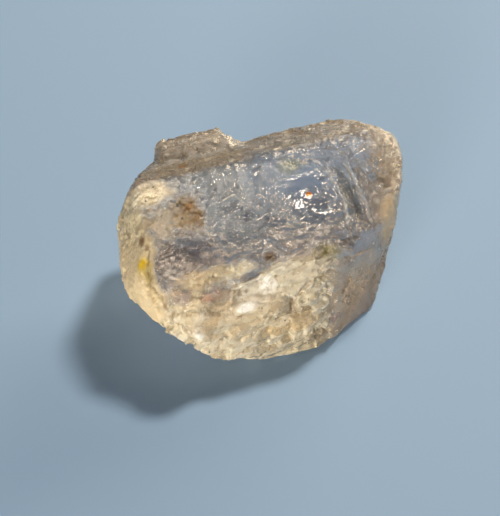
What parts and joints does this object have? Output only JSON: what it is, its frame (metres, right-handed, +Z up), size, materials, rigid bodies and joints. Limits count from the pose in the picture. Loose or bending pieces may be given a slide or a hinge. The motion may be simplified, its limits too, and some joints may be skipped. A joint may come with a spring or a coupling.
{
  "type": "topaz crystal",
  "caption": "Rough waterworn crystal lying on a flat prism face, with a roof ridge, a striated crest, shell-shaped chips and worn edges.",
  "frame": {"origin": "bottom centre of the bounding box, on the flat face that the crystal rests on", "axes": "+X along the prism axis and the longest extent, towards the smooth end; +Y from the chipped front to the back; +Z up from the rest face"},
  "size_m": [0.0308, 0.0216, 0.0166],
  "materials": {
    "topaz_crystal": "clear to pale champagne crystal, IOR about 1.62, smooth and water-clear in places and etched and frosted in others"
  },
  "bodies": {
    "root": {"topaz_crystal": "topaz_crystal"}
  },
  "joints": []
}
